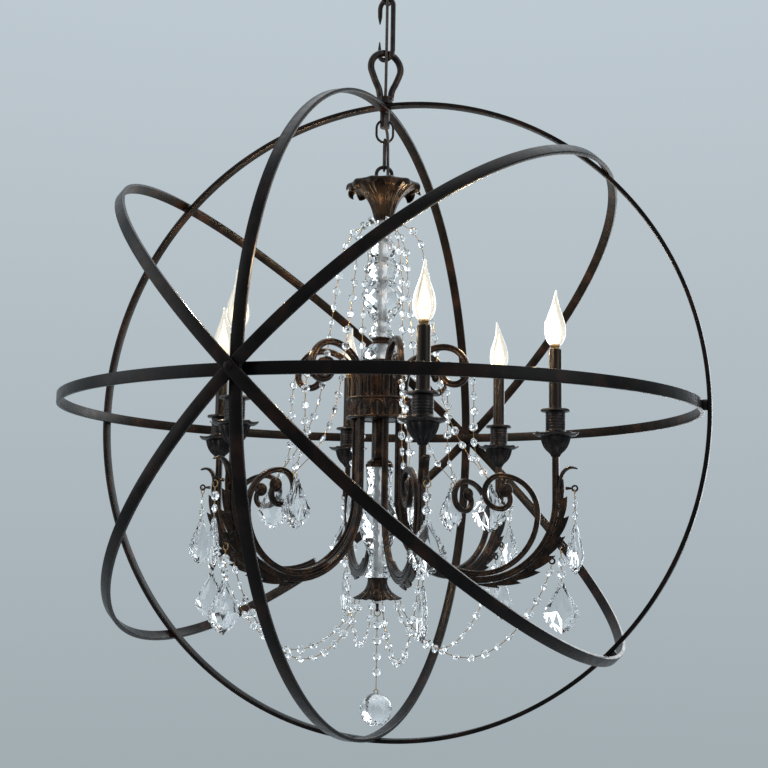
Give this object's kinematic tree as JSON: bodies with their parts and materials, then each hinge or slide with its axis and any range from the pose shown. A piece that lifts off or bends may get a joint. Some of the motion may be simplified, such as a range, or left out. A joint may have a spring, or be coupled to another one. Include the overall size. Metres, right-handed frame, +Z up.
{
  "type": "orb chandelier",
  "caption": "Candle-style crystal chandelier hung inside an orb of flat metal hoops, on a hook, chain links and ceiling canopy, with bead strands and drops.",
  "frame": {"origin": "centre of the canopy's face against the ceiling", "axes": "+Z up; the face hoop lies in the XZ plane and is seen face on from -Y; +X is to the right of that view"},
  "size_m": [1.006, 1.0356, 1.3125],
  "materials": {
    "hoop_metal": "satin black with a reddish brown bloom",
    "arm_metal": "rubbed dark bronze",
    "crown_metal": "antique gold bronze",
    "chain_metal": "satin dark bronze",
    "plated_steel": "zinc plated",
    "wire_brass": "polished",
    "crystal": "clear facetted",
    "lamp_glass": "clear and lit",
    "cord_sheath": "smooth"
  },
  "bodies": {
    "canopy_body": {"mounting_strap": "plated_steel", "canopy_nipple": "plated_steel", "nipple_nut": "plated_steel", "canopy": "chain_metal", "canopy_loop": "chain_metal"},
    "upper_link": {"chain_link_1": "chain_metal"},
    "lower_link": {"chain_link_2": "chain_metal"},
    "hook": {"s_hook": "chain_metal", "supply_cord_upper": "cord_sheath"},
    "orb": {"top_loop": "chain_metal", "top_boss": "chain_metal", "equator_ring": "hoop_metal", "face_ring": "hoop_metal", "side_ring": "hoop_metal", "rising_ring": "hoop_metal", "falling_ring": "hoop_metal", "hoop_bolts": "hoop_metal"},
    "stub_ring": {"jump_ring": "chain_metal"},
    "oval": {"oval_link": "chain_metal", "supply_cord_lower": "cord_sheath"},
    "chandelier": {"crown_loop": "chain_metal", "crown_cup": "crown_metal", "column_rod": "plated_steel", "upper_glass": "crystal", "glass_coupling": "arm_metal", "knop_glass": "crystal", "hub_core": "arm_metal", "hub_band": "arm_metal", "centre_post": "arm_metal", "lower_glass": "crystal", "base_bell": "arm_metal", "finial": "arm_metal", "arms": "arm_metal", "arm_scrolls": "arm_metal", "arm_leaves": "arm_metal", "candle_cups": "arm_metal", "candle_sleeves": "chain_metal", "lamp_sockets": "wire_brass", "crown_strands": "crystal", "curl_strands": "crystal", "swags": "crystal"},
    "bulb_1_lamp": {"bulb_1": "lamp_glass"},
    "bulb_2_lamp": {"bulb_2": "lamp_glass"},
    "bulb_3_lamp": {"bulb_3": "lamp_glass"},
    "bulb_4_lamp": {"bulb_4": "lamp_glass"},
    "bulb_5_lamp": {"bulb_5": "lamp_glass"},
    "bulb_6_lamp": {"bulb_6": "lamp_glass"},
    "low_drop_1_pendant": {"low_drop_1": "crystal"},
    "low_drop_2_pendant": {"low_drop_2": "crystal"},
    "low_drop_3_pendant": {"low_drop_3": "crystal"},
    "low_drop_4_pendant": {"low_drop_4": "crystal"},
    "low_drop_5_pendant": {"low_drop_5": "crystal"},
    "low_drop_6_pendant": {"low_drop_6": "crystal"},
    "outer_drop_1_pendant": {"outer_drop_1": "crystal"},
    "outer_drop_2_pendant": {"outer_drop_2": "crystal"},
    "outer_drop_3_pendant": {"outer_drop_3": "crystal"},
    "outer_drop_4_pendant": {"outer_drop_4": "crystal"},
    "outer_drop_5_pendant": {"outer_drop_5": "crystal"},
    "outer_drop_6_pendant": {"outer_drop_6": "crystal"},
    "ball_pendant": {"ball_drop": "crystal"}
  },
  "joints": [
    {"name": "link_1_swing", "type": "hinge", "parent": "canopy_body", "child": "upper_link", "pos_m": [0, 0, -0.067], "axis": [0.342, 0.9397, 0], "range_deg": [-15, 15]},
    {"name": "link_2_swing", "type": "hinge", "parent": "upper_link", "child": "lower_link", "pos_m": [0, 0, -0.0997], "axis": [0.9397, -0.342, 0], "range_deg": [-15, 15]},
    {"name": "hook_swing", "type": "hinge", "parent": "lower_link", "child": "hook", "pos_m": [0, 0, -0.1329], "axis": [0.342, 0.9397, 0], "range_deg": [-15, 15], "deforming": ["supply_cord_upper"]},
    {"name": "orb_swing", "type": "hinge", "parent": "hook", "child": "orb", "pos_m": [0, 0, -0.2291], "axis": [0.9397, -0.342, 0], "range_deg": [-12, 12]},
    {"name": "jump_ring_swing", "type": "hinge", "parent": "orb", "child": "stub_ring", "pos_m": [0, 0, -0.3323], "axis": [0.9063, 0.4226, 0], "range_deg": [-3.5, 3.5]},
    {"name": "oval_link_swing", "type": "hinge", "parent": "stub_ring", "child": "oval", "pos_m": [0, 0, -0.365], "axis": [-0.4226, 0.9063, 0], "range_deg": [-3.5, 3.5], "deforming": ["supply_cord_lower"]},
    {"name": "chandelier_turn", "type": "hinge", "parent": "oval", "child": "chandelier", "pos_m": [0, 0, -0.4168], "axis": [0, 0, 1], "range_deg": [-20, 20]},
    {"name": "bulb_1_unscrew", "type": "slide", "parent": "chandelier", "child": "bulb_1_lamp", "axis": [0, 0, 1], "range_m": [0, 0.03]},
    {"name": "bulb_2_unscrew", "type": "slide", "parent": "chandelier", "child": "bulb_2_lamp", "axis": [0, 0, 1], "range_m": [0, 0.03]},
    {"name": "bulb_3_unscrew", "type": "slide", "parent": "chandelier", "child": "bulb_3_lamp", "axis": [0, 0, 1], "range_m": [0, 0.03]},
    {"name": "bulb_4_unscrew", "type": "slide", "parent": "chandelier", "child": "bulb_4_lamp", "axis": [0, 0, 1], "range_m": [0, 0.03]},
    {"name": "bulb_5_unscrew", "type": "slide", "parent": "chandelier", "child": "bulb_5_lamp", "axis": [0, 0, 1], "range_m": [0, 0.03]},
    {"name": "bulb_6_unscrew", "type": "slide", "parent": "chandelier", "child": "bulb_6_lamp", "axis": [0, 0, 1], "range_m": [0, 0.03]},
    {"name": "low_drop_1_swing", "type": "hinge", "parent": "chandelier", "child": "low_drop_1_pendant", "pos_m": [0.15031, -0.24054, -1.01491], "axis": [0.5299, -0.848, 0], "range_deg": [-9, 9]},
    {"name": "low_drop_2_swing", "type": "hinge", "parent": "chandelier", "child": "low_drop_2_pendant", "pos_m": [0.28347, 0.0099, -1.01491], "axis": [0.9994, 0.0349, 0], "range_deg": [-9, 9]},
    {"name": "low_drop_3_swing", "type": "hinge", "parent": "chandelier", "child": "low_drop_3_pendant", "pos_m": [0.13316, 0.25044, -1.01491], "axis": [0.4695, 0.8829, 0], "range_deg": [-9, 9]},
    {"name": "low_drop_4_swing", "type": "hinge", "parent": "chandelier", "child": "low_drop_4_pendant", "pos_m": [-0.15031, 0.24054, -1.01491], "axis": [-0.5299, 0.848, 0], "range_deg": [-9, 9]},
    {"name": "low_drop_5_swing", "type": "hinge", "parent": "chandelier", "child": "low_drop_5_pendant", "pos_m": [-0.28347, -0.0099, -1.01491], "axis": [-0.9994, -0.0349, 0], "range_deg": [-9, 9]},
    {"name": "low_drop_6_swing", "type": "hinge", "parent": "chandelier", "child": "low_drop_6_pendant", "pos_m": [-0.13316, -0.25044, -1.01491], "axis": [-0.4695, -0.8829, 0], "range_deg": [-9, 9]},
    {"name": "outer_drop_1_swing", "type": "hinge", "parent": "chandelier", "child": "outer_drop_1_pendant", "pos_m": [0.16125, -0.25806, -0.92873], "axis": [0.5299, -0.848, 0], "range_deg": [-9, 9]},
    {"name": "outer_drop_2_swing", "type": "hinge", "parent": "chandelier", "child": "outer_drop_2_pendant", "pos_m": [0.30411, 0.01062, -0.92873], "axis": [0.9994, 0.0349, 0], "range_deg": [-9, 9]},
    {"name": "outer_drop_3_swing", "type": "hinge", "parent": "chandelier", "child": "outer_drop_3_pendant", "pos_m": [0.14286, 0.26868, -0.92873], "axis": [0.4695, 0.8829, 0], "range_deg": [-9, 9]},
    {"name": "outer_drop_4_swing", "type": "hinge", "parent": "chandelier", "child": "outer_drop_4_pendant", "pos_m": [-0.16125, 0.25806, -0.92873], "axis": [-0.5299, 0.848, 0], "range_deg": [-9, 9]},
    {"name": "outer_drop_5_swing", "type": "hinge", "parent": "chandelier", "child": "outer_drop_5_pendant", "pos_m": [-0.30411, -0.01062, -0.92873], "axis": [-0.9994, -0.0349, 0], "range_deg": [-9, 9]},
    {"name": "outer_drop_6_swing", "type": "hinge", "parent": "chandelier", "child": "outer_drop_6_pendant", "pos_m": [-0.14286, -0.26868, -0.92873], "axis": [-0.4695, -0.8829, 0], "range_deg": [-9, 9]},
    {"name": "ball_drop_swing", "type": "hinge", "parent": "chandelier", "child": "ball_pendant", "pos_m": [0, 0, -1.1146], "axis": [0, 1, 0], "range_deg": [-8, 8]}
  ]
}
